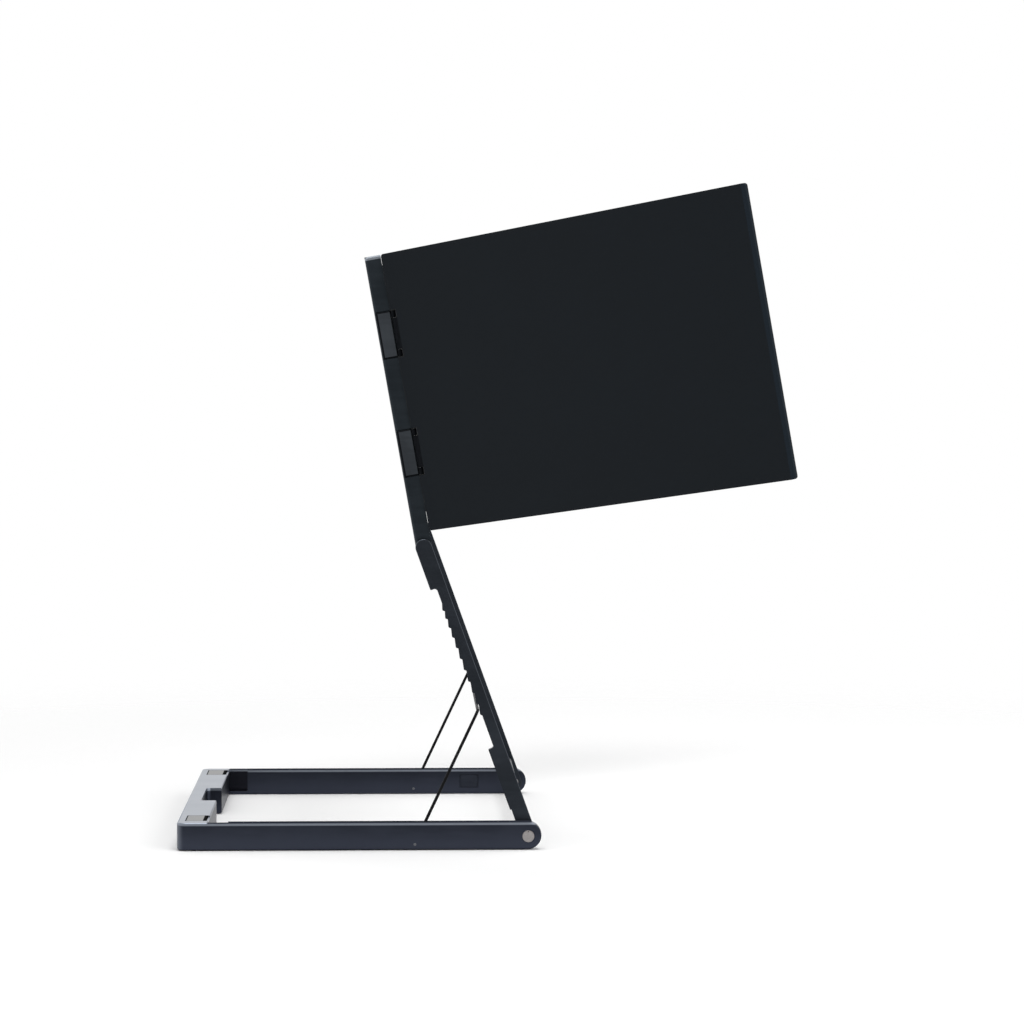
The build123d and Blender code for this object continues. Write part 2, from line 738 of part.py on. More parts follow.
def make_fixed_leaf(side, height):
    """Hinge leaf fixed in the side rail's notch, with an ear at each end."""
    front = rail_fronts[side] - hinge_front_inset
    back = -screen_back + hinge_back_margin
    floor = centre_half - hinge_notch_depth
    top = centre_half + hinge_cover_proud - hinge_cover_thickness
    axis_depth = hinge_axis_depth(side)
    with BuildPart() as leaf:
        with BuildSketch(side_sketch_plane(screen_plane, low_x(side, floor, top))):
            with Locations((height, (front + back) / 2)):
                Rectangle(hinge_length, front - back)
        extrude(amount=top - floor)
        for end in (-1, 1):
            middle = height + end * (hinge_length - hinge_ear_length) / 2
            ear_start = Plane(screen_plane.from_local_coords(Vector(0, middle - hinge_ear_length / 2, 0)),
                              x_dir=(1, 0, 0), z_dir=screen_plane.y_dir)
            with BuildSketch(ear_start):
                with Locations((side * hinge_axis_x, -axis_depth)):
                    Circle(hinge_radius)
                with Locations((side * (hinge_axis_x - hinge_neck_reach / 2), -(axis_depth + front) / 2)):
                    Rectangle(hinge_neck_reach, axis_depth - front)
            extrude(amount=hinge_ear_length)
            with BuildSketch(ear_start):
                with Locations((side * hinge_axis_x, -axis_depth)):
                    Circle(hinge_pin_diameter / 2 + press_gap)
            extrude(amount=hinge_ear_length, mode=Mode.SUBTRACT)
    return leaf


def make_hinge_pin(side, height):
    """Pin of a wing hinge."""
    start = Plane(screen_plane.from_local_coords(Vector(0, height - hinge_length / 2, 0)),
                  x_dir=(1, 0, 0), z_dir=screen_plane.y_dir)
    with BuildPart() as pin:
        with BuildSketch(start):
            with Locations((side * hinge_axis_x, -hinge_axis_depth(side))):
                Circle(hinge_pin_diameter / 2)
        extrude(amount=hinge_length)
    return pin


def make_wing_leaf(side, height):
    """Moving hinge leaf: a barrel between the ears and a plate let into the wing."""
    plane = wing_plane(side)
    start = Plane(plane.from_local_coords(Vector(0, height - hinge_barrel / 2, 0)),
                  x_dir=plane.x_dir, z_dir=plane.y_dir)
    with BuildPart() as leaf:
        with BuildSketch(start):
            Circle(hinge_radius)
        extrude(amount=hinge_barrel)
        with BuildSketch(plane.offset(wing_cover_back - wing_back)):
            with Locations((side * leaf_reach / 2, height)):
                Rectangle(leaf_reach, hinge_barrel)
        extrude(amount=leaf_thickness)
        with BuildSketch(start):
            Circle(hinge_pin_diameter / 2 + running_gap)
        extrude(amount=hinge_barrel, mode=Mode.SUBTRACT)
    return leaf


def notch_places(side):
    """Middles of the notches in a wing's inner edge, in the wing's own plane."""
    across = wing_edge + (wing_notch_depth - cut_extra) / 2
    return [(side * across, height) for height in hinge_heights]


def make_wing_cover(side):
    """Back shell of a wing, bevelled along its outer edge and slotted for its hinge leaves."""
    plane = wing_plane(side)
    inside = (wing_edge + wing_hinge_wall, wing_edge + wing_width - wing_bevel_width)
    with BuildPart() as cover:
        with BuildSketch(plane.offset(-wing_back)):
            with Locations((side * wing_middle[0], wing_middle[1])):
                RectangleRounded(wing_width, wing_height, wing_corner_radius)
        extrude(amount=wing_bezel_back + wing_back)
        back_face = cover.faces().sort_by(Axis(plane.origin, plane.z_dir))[0]
        chamfer(back_face.edges(), length=wing_edge_bevel)
        bevel_start = Plane(plane.from_local_coords(Vector(0, wing_bottom, 0)), x_dir=plane.x_dir,
                            z_dir=plane.y_dir)
        outer_edge = wing_edge + wing_width
        with BuildSketch(bevel_start):
            with BuildLine():
                Polyline((side * (outer_edge - wing_bevel_width), wing_back + cut_extra),
                         (side * (outer_edge - wing_bevel_width), wing_back),
                         (side * outer_edge, wing_back - wing_bevel_depth),
                         (side * (outer_edge + cut_extra), wing_back - wing_bevel_depth),
                         (side * (outer_edge + cut_extra), wing_back + cut_extra), close=True)
            make_face()
        extrude(amount=wing_height, mode=Mode.SUBTRACT)
        with BuildSketch(plane.offset(wing_cover_back - wing_back)):
            with Locations((side * (inside[0] + inside[1]) / 2, wing_middle[1])):
                RectangleRounded(inside[1] - inside[0], wing_height - 2 * cover_wall,
                                 wing_corner_radius - cover_wall)
        extrude(amount=wing_bezel_back + wing_back - wing_cover_back, mode=Mode.SUBTRACT)
        with BuildSketch(plane.offset(wing_cover_back - wing_back)):
            with Locations(*[(side * inside[0] / 2, height) for height in hinge_heights]):
                Rectangle(inside[0] + cut_extra, hinge_barrel + 2 * press_gap)
        extrude(amount=leaf_thickness + press_gap, mode=Mode.SUBTRACT)
        with BuildSketch(plane.offset(-wing_back)):
            with Locations(*notch_places(side)):
                Rectangle(wing_notch_depth + cut_extra, hinge_length + 2 * hinge_end_gap)
        extrude(amount=wing_bezel_back + wing_back, mode=Mode.SUBTRACT)
    return cover


def board_corners(margin):
    """Standoff places of the control board, in the centre screen's plane."""
    return [(board_off_middle + right * (board_width / 2 - margin),
             centre_bottom + board_above_bottom + up * (board_height / 2 - margin))
            for right in (-1, 1) for up in (-1, 1)]


def make_centre_cover():
    """Back shell of the centre screen with standoffs for the control board."""
    height = side_rail_top - centre_bottom
    cover = make_tray(screen_plane, (0, centre_bottom + height / 2), 2 * bezel_half, height,
                      -screen_back, cover_wall, cover_back, bezel_front - bezel_thickness, 0)
    with BuildPart() as whole:
        add(cover.part)
        with BuildSketch(screen_plane.offset(cover_back - screen_back)):
            with Locations(*board_corners(standoff_diameter)):
                Circle(standoff_diameter / 2)
        extrude(amount=standoff_height)
    return whole


def make_control_board():
    """Control board on its standoffs behind the centre panel, with three flat chips."""
    middle = (board_off_middle, centre_bottom + board_above_bottom)
    back = cover_back - screen_back + standoff_height
    with BuildPart() as board:
        with BuildSketch(screen_plane.offset(back)):
            with Locations(middle):
                Rectangle(board_width, board_height)
        extrude(amount=board_thickness)
        with BuildSketch(screen_plane.offset(back + board_thickness)):
            with Locations(middle):
                with GridLocations(2 * chip_size, 0, 3, 1):
                    Rectangle(chip_size, chip_size)
        extrude(amount=chip_thickness)
    return board


def make_wing_bezel(side, window):
    """Front frame of a wing, with the same notches for the hinges as its cover."""
    plane = wing_plane(side)
    middle = (side * wing_middle[0], wing_middle[1])
    frame = make_bezel(plane, middle, wing_width, wing_height, window, wing_bezel_back, wing_front,
                       wing_corner_radius)
    with BuildPart() as whole:
        add(frame.part)
        with BuildSketch(plane.offset(wing_bezel_back)):
            with Locations(*notch_places(side)):
                Rectangle(wing_notch_depth + cut_extra, hinge_length + 2 * hinge_end_gap)
        extrude(amount=bezel_thickness, mode=Mode.SUBTRACT)
    return whole


def make_wing_board(side):
    """Driver board of a wing, flat on the floor of its cover beside the hinge."""
    plane = wing_plane(side)
    with BuildPart() as board:
        with BuildSketch(plane.offset(wing_cover_back - wing_back)):
            with Locations((side * wing_board_from_hinge, wing_bottom + wing_height / 2)):
                Rectangle(wing_board_width, wing_board_height)
        extrude(amount=board_thickness)
    return board


pieces = {}
for name, side in sides.items():
    pieces[f"{name}_rail"] = make_rail(side)
    for spot, place in zip(("front", "rear"), foot_places(side)):
        pieces[f"{name}_{spot}_foot"] = make_foot(place)
    pieces[f"{name}_crossbar_pad"] = make_pad(side)
    pieces[f"{name}_rail_catch"] = make_catch(side)
    pieces[f"{name}_main_pin"] = make_main_pin(side)
    pieces[f"{name}_prop_pin"] = make_prop_pin(side)
    pieces[f"{name}_prop_eye"] = make_prop_eye(side)
    pieces[f"{name}_arm"] = make_arm(side)
    pieces[f"{name}_tilt_pin"] = make_tilt_pin(side)
    pieces[f"{name}_side_rail"] = make_side_rail(side)
    for spot, height in zip(("lower", "upper"), hinge_heights):
        pieces[f"{name}_{spot}_hinge_cover"] = make_hinge_cover(side, height)
        pieces[f"{name}_{spot}_hinge_leaf"] = make_fixed_leaf(side, height)
        pieces[f"{name}_{spot}_hinge_pin"] = make_hinge_pin(side, height)
        pieces[f"{name}_wing_{spot}_leaf"] = make_wing_leaf(side, height)
    pieces[f"{name}_wing_cover"] = make_wing_cover(side)
    wing_window = (side * wing_middle[0], wing_bottom + display_above_bottom + display_height / 2)
    pieces[f"{name}_wing_bezel"] = make_wing_bezel(side, wing_window)
    pieces[f"{name}_wing_board"] = make_wing_board(side)
    pieces[f"{name}_wing_panel"] = make_panel(wing_plane(side), wing_window,
                                              wing_bezel_back - panel_thickness,
                                              wing_bezel_back, wing_front - glass_step)
centre_height = side_rail_top - centre_bottom
centre_middle = (0, centre_bottom + centre_height / 2)
centre_window = (0, centre_bottom + display_above_bottom + display_height / 2)
centre_bezel_back = bezel_front - bezel_thickness
pieces["centre_back_cover"] = make_centre_cover()
pieces["control_board"] = make_control_board()
pieces["centre_bezel"] = make_bezel(screen_plane, centre_middle, 2 * bezel_half, centre_height,
                                    centre_window, centre_bezel_back, bezel_front, 0)
pieces["centre_panel"] = make_panel(screen_plane, centre_window, centre_bezel_back - panel_thickness,
                                    centre_bezel_back, bezel_front - glass_step)
pieces["crossbar"] = make_crossbar()
pieces["arm_brace"] = make_brace()
pieces["prop_wire"] = make_prop_wire()
for spot, place in zip(("lower", "upper"), usb_places):
    pieces[f"{spot}_usb_socket"] = make_socket(place, usb_length, usb_height, True)
pieces["hdmi_socket"] = make_socket(hdmi_place, hdmi_length, hdmi_height, False)
for spot, place in zip(("power", "menu", "mode"), button_places):
    pieces[f"{spot}_button"] = make_button(place)

middle_y = (frame_back + pieces["left_wing_bezel"].part.bounding_box().min.Y) / 2
for label, piece in pieces.items():
    placed = piece.part.moved(Location((0, -middle_y, 0)))
    placed.label = label
    export_step(placed, f"parts/{label}.step")

print("middle_y", round(middle_y, 4))
for label, point in (("main pivot", Vector(0, 0, pin_height)), ("tilt axis", tilt_axis),
                     ("prop pivot", Vector(0, prop_pivot_behind, prop_pivot_height)),
                     ("left wing hinge", wing_plane(-1).origin), ("right wing hinge", wing_plane(1).origin)):
    print(label, round(point.X, 4), round(point.Y - middle_y, 4), round(point.Z, 4))
print("prop angle", round(rest_prop_angle(), 3))
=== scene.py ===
# %% [markdown]
# This lesson dresses a folding stand with a row of hinged screens. Every solid of it comes from the
# imported model, at its real size and in its real place, and Blender adds the broken edges, the
# finishes and the light. The first cell loads that model, and part_box gives the box of any of its
# parts. Nothing that follows may grow past it.

# %% Load the imported model
import json
import math
import bmesh
import bpy
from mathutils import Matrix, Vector


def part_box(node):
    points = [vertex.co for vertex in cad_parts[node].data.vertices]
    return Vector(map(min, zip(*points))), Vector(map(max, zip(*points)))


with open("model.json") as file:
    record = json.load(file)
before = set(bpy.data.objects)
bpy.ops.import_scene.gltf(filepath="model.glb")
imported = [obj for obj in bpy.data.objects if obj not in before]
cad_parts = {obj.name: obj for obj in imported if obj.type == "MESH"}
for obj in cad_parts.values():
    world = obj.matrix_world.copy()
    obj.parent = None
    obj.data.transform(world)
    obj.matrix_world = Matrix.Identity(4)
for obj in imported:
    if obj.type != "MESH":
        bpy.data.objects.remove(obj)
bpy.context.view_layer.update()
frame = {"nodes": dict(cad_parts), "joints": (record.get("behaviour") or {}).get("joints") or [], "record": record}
nodes = frame["nodes"]

# %% [markdown]
# The camera stands far off on the left of the stand with a long lens, so the lines of the base
# hardly converge. Its place, turn and lens were worked out from the corners of the base and of the
# near screen. It stays at the height of the screens and looks a little down, which shows a narrow
# strip of the crossbar's top.

# %% Camera
camera_place = Vector((-3.304, 0.0620, 0.4293))
camera_turn = -0.03042
camera_tip = -0.04407
lens_length = 126.7


def set_down(thing, place, direction):
    """Puts a camera or a lamp in the scene, looking along a direction."""
    thing.location = place
    thing.rotation_euler = direction.to_track_quat("-Z", "Y").to_euler()
    bpy.context.scene.collection.objects.link(thing)


looking = Vector((math.cos(camera_turn) * math.cos(camera_tip),
                  math.sin(camera_turn) * math.cos(camera_tip), math.sin(camera_tip)))
lens_data = bpy.data.cameras.new("camera")
lens_data.sensor_width = 36.0
lens_data.lens = lens_length
lens_data.clip_start = 0.05
lens_data.clip_end = 60.0
camera = bpy.data.objects.new("camera", lens_data)
set_down(camera, camera_place, looking)
bpy.context.scene.camera = camera
bpy.context.scene.view_settings.view_transform = "Standard"
print("the camera looks down by", round(-math.degrees(camera_tip), 2), "degrees")

# %% [markdown]
# No machined or moulded edge is sharp: a cutter or a tumbler breaks it by a fraction of a
# millimetre, and that narrow face catches the light. The solids carry the large roundings. A Bevel
# modifier adds the small ones, and a Weld before it joins the faces that arrive separately. Both
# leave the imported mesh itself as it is.

# %% Broken edges
rail_break = 0.0006
small_break = 0.0003
same_point = 1e-6
sharp_angle = math.radians(40.0)


def both_sides(*names):
    """The left and the right node of each name."""
    return [f"{side}_{name}" for name in names for side in ("left", "right")]


def break_edges(width, *names):
    """Rounds the sharp edges of nodes by a width in metres."""
    for name in names:
        weld = nodes[name].modifiers.new("join_faces", "WELD")
        weld.merge_threshold = same_point
        bevel = nodes[name].modifiers.new("broken_edges", "BEVEL")
        bevel.width = width
        bevel.segments = 2
        bevel.limit_method = "ANGLE"
        bevel.angle_limit = sharp_angle
        bevel.harden_normals = True


plates = both_sides("lower_hinge_cover", "upper_hinge_cover")
leaves = both_sides("lower_hinge_leaf", "upper_hinge_leaf", "wing_lower_leaf", "wing_upper_leaf")
break_edges(rail_break, *both_sides("rail"))
break_edges(small_break, "crossbar", "centre_back_cover", "centre_bezel", *plates, *leaves,
            *both_sides("arm", "side_rail", "wing_cover", "wing_bezel"))
print("nodes with broken edges", sum(bool(piece.modifiers) for piece in nodes.values()))

# %% [markdown]
# The marks of use and making are found by measuring along directions. The base is square to the
# model's frame. The screens lean and the wings are swung, so places on them are measured along the
# screens' own directions. The left wing's hinge axis points up along the screens, and its range
# starts with the wing flat. A piece's reach along a direction comes from the points of its mesh.

# %% Directions
stand_right = Vector((1.0, 0.0, 0.0))
stand_back = Vector((0.0, 1.0, 0.0))
stand_up = Vector((0.0, 0.0, 1.0))
joints = {joint["name"]: joint for joint in frame["joints"]}
swing = -math.radians(joints["left_wing_swing"]["range_deg"][0])
screen_up = Vector(joints["left_wing_swing"]["axis"])
screen_front = stand_right.cross(screen_up)
wing_out = {}
for name, side in (("left", -1), ("right", 1)):
    facing = math.cos(swing) * screen_front - side * math.sin(swing) * stand_right
    wing_out[name] = side * screen_up.cross(facing)


def reach(node, direction):
    """The least and the greatest distance of a node's points along a direction."""
    distances = [direction.dot(vertex.co) for vertex in nodes[node].data.vertices]
    return min(distances), max(distances)


print("wings swung from flat by", round(math.degrees(swing), 2), "degrees")

# %% [markdown]
# Shader maths reads best as plain sums. `Value` holds one output of a node tree, and the operators
# on it add Math nodes, so `0.4 + 0.1 * grain` builds the tree that it says. A share is a value
# from 0 to 1 that says where a mark lies. Shares are multiplied where both must hold, and `|` takes
# the larger one, which joins two marks.

# %% Shader sums
class Value:
    """One output of a node tree. Arithmetic on it adds Math nodes."""

    def __init__(self, maker, socket):
        self.maker = maker
        self.socket = socket

    def math(self, operation, *others):
        """What a Math node makes of this value and the others."""
        return self.maker.add("ShaderNodeMath", {"operation": operation},
                              dict(enumerate((self, *others))))

    def __add__(self, other):
        return self.math("ADD", other)

    def __sub__(self, other):
        return self.math("SUBTRACT", other)

    def __rsub__(self, other):
        return self.maker.add("ShaderNodeMath", {"operation": "SUBTRACT"}, {0: other, 1: self})

    def __mul__(self, other):
        return self.math("MULTIPLY", other)

    def __or__(self, other):
        return self.math("MAXIMUM", other)

    __radd__ = __add__
    __rmul__ = __mul__

    def ramp(self, start, end):
        """0 at start and 1 at end, smooth between them and held outside. It may run downward."""
        return self.maker.add("ShaderNodeMapRange", {"interpolation_type": "SMOOTHSTEP"},
                              {"Value": self, "From Min": start, "From Max": end})

    def distance_to(self, place):
        """How far the value is from a place, on either side of it."""
        return (self - place).math("ABSOLUTE")


# %% [markdown]
# One method adds every other kind of node: its settings first, then what its sockets get, which is
# a number, a vector, a colour or a `Value`. The light of the room uses `Nodes` as it is. `Finish`
# has a material as well, and the patterns that the finishes share. They are measured in the model's
# own frame, so they stay on a piece when it moves.

# %% Node trees
class Nodes:
    """A node tree with one way to add nodes to it."""

    def __init__(self, tree):
        self.tree = tree

    def add(self, kind, settings=None, sockets=None, output=0):
        """Adds a node with its settings and sockets, and gives one of its outputs."""
        node = self.tree.nodes.new(kind)
        for key, setting in (settings or {}).items():
            setattr(node, key, setting)
        for key, value in (sockets or {}).items():
            self.feed(node.inputs[key], value)
        return Value(self, node.outputs[output])

    def feed(self, socket, value):
        """Links a Value to a socket, and sets the socket to anything else."""
        if isinstance(value, Value):
            self.tree.links.new(value.socket, socket)
        elif socket.type == "RGBA":
            socket.default_value = (*value, 1.0)
        else:
            socket.default_value = value

    def dot(self, vector, direction):
        """How far a vector reaches along a direction."""
        return self.add("ShaderNodeVectorMath", {"operation": "DOT_PRODUCT"},
                        {0: vector, 1: tuple(direction)}, "Value")


# %% Finishes
class Finish(Nodes):
    """A material with a Principled shader and the patterns that the finishes share."""

    def __init__(self, name):
        self.material = bpy.data.materials.new(name)
        self.material.use_nodes = True
        super().__init__(self.material.node_tree)
        self.shader = self.tree.nodes["Principled BSDF"]

    def place(self):
        """Where a point lies in the model's own frame, in metres."""
        return self.add("ShaderNodeTexCoord", output="Object")

    def along(self, direction, start=(0.0, 0.0, 0.0)):
        """Distance of a point from start, measured along a direction."""
        offset = self.add("ShaderNodeVectorMath", {"operation": "SUBTRACT"},
                          {0: self.place(), 1: tuple(start)})
        return self.dot(offset, direction)

    def sideways(self):
        """Distance from the stand's middle plane, alike on the left and the right."""
        return self.along(stand_right).distance_to(0.0)

    def noise(self, size, detail, stretch=(1.0, 1.0, 1.0), roughness=0.5):
        """Cloudy noise between 0 and 1 whose blobs are about size metres across."""
        stretched = self.add("ShaderNodeVectorMath", {"operation": "MULTIPLY"},
                             {0: self.place(), 1: stretch})
        return self.add("ShaderNodeTexNoise", {}, {"Vector": stretched, "Scale": 1.0 / size,
                                                   "Detail": detail, "Roughness": roughness}, "Fac")

    def mix(self, share, first, second):
        """Colour that goes from first to second as share goes from 0 to 1."""
        return self.add("ShaderNodeMix", {"data_type": "RGBA"},
                        {"Factor": share, 6: first, 7: second}, 2)

    def vary(self, share, colour, darkest, lightest):
        """Colour times darkest where share is 0, and times lightest where it is 1."""
        return self.mix(share, tuple(channel * darkest for channel in colour),
                        tuple(channel * lightest for channel in colour))

    def bump(self, height, depth, strength):
        """Normal for a height field of the given depth in metres."""
        return self.add("ShaderNodeBump", {}, {"Height": height, "Distance": depth,
                                               "Strength": strength})

    def wear(self, **sockets):
        """Feeds the shader's sockets by name, with spaces written as underscores."""
        for key, value in sockets.items():
            self.feed(self.shader.inputs[key.replace("_", " ")], value)


# %% [markdown]
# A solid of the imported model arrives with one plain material. Its object and its mesh stay as they
# are, and only its material slots change: `dress` empties them and puts one finish in.

# %% Dressing the nodes
def dress(material, *names):
    """Puts a material on nodes of the model, in place of the one that they came with."""
    for name in names:
        slots = nodes[name].data.materials
        slots.clear()
        slots.append(material)
    print(material.name, "on", ", ".join(names))


# %% [markdown]
# The base, the arms and the side rails are aluminium that was blasted, dyed and anodised. The dye
# makes it dark, but it stays a metal: it takes its tint from the base colour and turns bright only
# at a grazing angle. A fine blasted grain is about a third of a millimetre wide. Handling leaves
# slow, faint changes in gloss. A finish can carry marks, each a function that gives a share, and
# the colour painted there, which for several marks is painted light. Where it has a matt coat it
# isn't shaded as a metal. The catches in the rails are plain, so they come first.

# %% Anodised aluminium
catch_colour = (0.036, 0.041, 0.055)


def anodised(name, colour, roughness, marks=(), matt=None):
    """Dyed metal. Each mark is a share and a colour, and matt is the share with a coat on it."""
    finish = Finish(name)
    blasted = finish.noise(size=0.00035, detail=3.0)
    handled = finish.noise(size=0.045, detail=3.0)
    streaks = finish.noise(size=0.004, detail=2.0, stretch=(1.0, 0.12, 1.0))
    shade = (0.55 * handled + 0.25 * streaks + 0.2 * blasted).ramp(0.34, 0.66)
    dyed = finish.vary(shade, colour, darkest=0.84, lightest=1.22)
    for share, mark_colour in marks:
        dyed = finish.mix(share(finish), dyed, mark_colour)
    finish.wear(Base_Color=dyed, Metallic=1.0 - matt(finish) if matt else 1.0,
                Specular_IOR_Level=0.0,
                Roughness=roughness + 0.10 * handled + 0.06 * blasted - 0.07,
                Normal=finish.bump(blasted, depth=0.000012, strength=0.8))
    return finish.material


dress(anodised("anodised_catches", catch_colour, roughness=0.36), *both_sides("rail_catch"))

# %% [markdown]
# The base carries painted light. Its rounded rim has a painted highlight in a pale metal colour,
# and its rear corners are paler at half strength. Its sides carry a painted reflection of the pale
# floor, lighter toward the floor, and the pockets that take the folded arms carry painted shade,
# darker than the faces round them. The pockets' place comes from the record, which names them as
# openings.

# %% Painted light and pale corners on the base
crossbar_low, crossbar_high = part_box("crossbar")
frame_top = crossbar_high.z
frame_rear = crossbar_high.y
rail_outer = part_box("right_rail")[1].x
rim_rounding = 0.0016
pale_corner_reach = 0.012
openings = {opening["name"]: opening["box_m"] for opening in frame["record"]["physics"]["openings"]}
pocket_low, pocket_high = (Vector(corner) for corner in openings["right_rail_pocket"])
pocket_blend = 0.0006
outer_wall = 0.001


def rim_highlight_and_pale_corners(finish):
    """The painted highlight along the rounded rim on top of the base, and its two paler rear corners."""
    rim = finish.along(stand_up).ramp(frame_top - 1.9 * rim_rounding, frame_top - 1.2 * rim_rounding)
    corner = (finish.along(stand_back).ramp(frame_rear - pale_corner_reach / 2, frame_rear)
              * finish.sideways().ramp(rail_outer - pale_corner_reach, rail_outer - pale_corner_reach / 3))
    return rim | 0.5 * corner


def floor_reflection_share(finish):
    """Grows from the top of the base to the floor, where a reflection of the pale floor is painted."""
    return finish.along(stand_up).ramp(frame_top, 0.0)


def rail_pocket(finish):
    """The pockets inside the rails that take the folded arms, where shade is painted."""
    out = finish.sideways()
    back = finish.along(stand_back)
    return (out.ramp(pocket_low.x, pocket_low.x + pocket_blend)
            * out.ramp(rail_outer - outer_wall, rail_outer - 2 * outer_wall)
            * back.ramp(pocket_low.y - pocket_blend, pocket_low.y)
            * back.ramp(pocket_high.y + pocket_blend, pocket_high.y))


print("base", round(1000 * frame_top, 1), "mm high, a pocket's floor at",
      round(1000 * pocket_low.z, 1), "mm")

# %% [markdown]
# In front of the crossbar the rails' flat tops are lacquered matt. Round each pad and each catch is
# a thin gap that little light comes out of, and its darkness is painted shade. A point lies in the
# gap when it is less than the gap's width outside the fitting's box, so the largest of its distances
# beyond the box's faces tells.

# %% Matt parts of the base
rail_colour = (0.029, 0.033, 0.045)
# Painted reflection of the pale floor, lighter toward the foot of the rails.
painted_floor_reflection = (0.050, 0.057, 0.080)
# Pale metal colour of the painted highlights on the base's rim and the arms' chamfers; the base's rear corners get
# it at half strength.
pale_highlight_metal = (0.24, 0.265, 0.31)
# Darker colour of the painted shade in the rails' pockets.
painted_pocket_shade = (0.019, 0.020, 0.027)
# Dark colour of the painted shade in the gaps round the fittings and the hinge plates.
painted_gap_shade = (0.009, 0.010, 0.012)
top_end_blend = 0.001
gap_width = 0.0008
gap_shade_shares = {"right_crossbar_pad": 1.0, "right_rail_catch": 0.4}


def rail_tops(finish):
    """The flat tops of the rails in front of the crossbar."""
    return (finish.along(stand_up).ramp(frame_top - 0.6 * rim_rounding,
                                        frame_top - 0.3 * rim_rounding)
            * finish.along(stand_back).ramp(crossbar_low.y + top_end_blend,
                                            crossbar_low.y - top_end_blend))


def fitting_gap(finish, node):
    """The gap round a fitting, alike on both sides."""
    place = (finish.sideways(), finish.along(stand_back), finish.along(stand_up))
    beyond = [value.distance_to((first + last) / 2) - (last - first) / 2
              for value, first, last in zip(place, *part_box(node))]
    return (beyond[0] | beyond[1] | beyond[2]).ramp(gap_width, 0.7 * gap_width)


def fitting_gap_shade(finish):
    """The painted shade of the gaps round the pads and, fainter, round the catches."""
    pad_gap, catch_gap = (share * fitting_gap(finish, node) for node, share in gap_shade_shares.items())
    return pad_gap | catch_gap


def matt_parts(finish):
    """The parts of the base that don't shine as a metal."""
    return rail_tops(finish) | fitting_gap_shade(finish)


base_marks = ((floor_reflection_share, painted_floor_reflection), (rail_pocket, painted_pocket_shade), (rim_highlight_and_pale_corners, pale_highlight_metal),
              (rail_tops, rail_colour), (fitting_gap_shade, painted_gap_shade))
dress(anodised("anodised_base", rail_colour, roughness=0.32, marks=base_marks, matt=matt_parts),
      "crossbar", *both_sides("rail"))

# %% [markdown]
# The arms are flat bars. The broken edges beside their outer faces carry a faint painted highlight
# in a pale metal colour, and their narrow front faces are painted matt, so they stay dark before
# the pale room. The front lies at a right angle to the line from the main pivot to the tilt pivot.
# The paint goes over the broken edge and ends soon after it.

# %% Arms
arm_colour = (0.032, 0.037, 0.045)
arm_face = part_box("right_arm")[1].x
face_margin = 0.00002
paint_end = 0.0007
main_pivot = Vector(joints["upright_fold"]["pos_m"])
tilt_pivot = Vector(joints["screen_tilt"]["pos_m"])
arm_front = stand_right.cross((tilt_pivot - main_pivot).normalized())
arm_front_face = reach("left_arm", arm_front)[1]


def arm_chamfer_highlights(finish):
    """The broken edges beside the outer faces of the arms, where a faint highlight is painted."""
    out = finish.sideways()
    return (0.25 * out.ramp(arm_face - 2 * small_break, arm_face - small_break)
            * out.ramp(arm_face - face_margin, arm_face - 4 * face_margin))


def arm_fronts(finish):
    """The narrow front faces of the arms."""
    return finish.along(arm_front).ramp(arm_front_face - paint_end, arm_front_face - small_break)


# The arms' chamfers get a faint painted highlight.
arm_marks = ((arm_chamfer_highlights, pale_highlight_metal),)
dress(anodised("anodised_arms", arm_colour, roughness=0.40, marks=arm_marks, matt=arm_fronts),
      "arm_brace", *both_sides("arm"))

# %% [markdown]
# The side rails of the centre screen are finished as the arms are, with painted rear faces. Their
# upper ends carry a painted highlight in a pale metal colour.

# %% Side rails
side_colour = (0.030, 0.037, 0.044)
# Pale colour of the painted highlight on the side rails' upper ends.
cap_highlight_colour = (0.30, 0.33, 0.37)
cap_height = 0.0034
cap_blend = 0.0006
side_top = reach("left_side_rail", screen_up)[1]
side_rear = reach("left_side_rail", screen_front)[0]


def side_cap_highlights(finish):
    """The upper ends of the side rails, where a highlight is painted in pale metal colour."""
    return finish.along(screen_up).ramp(side_top - cap_height, side_top - cap_height + cap_blend)


def side_backs(finish):
    """The narrow rear faces of the side rails."""
    return finish.along(screen_front).ramp(side_rear + paint_end, side_rear + small_break)


side_marks = ((side_cap_highlights, cap_highlight_colour),)
dress(anodised("anodised_sides", side_colour, roughness=0.38, marks=side_marks, matt=side_backs),
      *both_sides("side_rail"))
print("side rails reach up to", round(side_top, 4), "and back to", round(side_rear, 4))

# %% [markdown]
# Small plates cover the hinges. Both ends and the rear edge of a plate carry painted shade from the
# gap round it. Each plate gets a finish of its own, because the border is measured from its own
# ends.

# %% Hinge plates
plate_colour = (0.062, 0.070, 0.080)
plate_edge = 0.0011


def plate_border_shade(node):
    """The function that gives a plate's border of painted shade."""
    low, high = reach(node, screen_up)
    half = (high - low) / 2
    rear = reach(node, screen_front)[0]

    def border(finish):
        from_middle = finish.along(screen_up).distance_to((low + high) / 2)
        ends = from_middle.ramp(half - plate_edge, half - 0.7 * plate_edge)
        return ends | finish.along(screen_front).ramp(rear + 1.2 * plate_edge, rear + plate_edge)

    return border


for name in plates:
    # A plate's ends and rear edge get painted shade.
    plate_marks = ((plate_border_shade(name), painted_gap_shade),)
    dress(anodised(f"plate_{name}", plate_colour, roughness=0.34, marks=plate_marks), name)

# %% [markdown]
# The backs of the screens are moulded in black plastic with a fine, even spark texture, so they
# look almost flat. The texture is a bump of a few hundredths of a millimetre. A slower noise makes
# the gloss uneven, as fingers do. The bevel along the free edge of a wing is rougher, and carries a
# painted highlight in a paler colour.

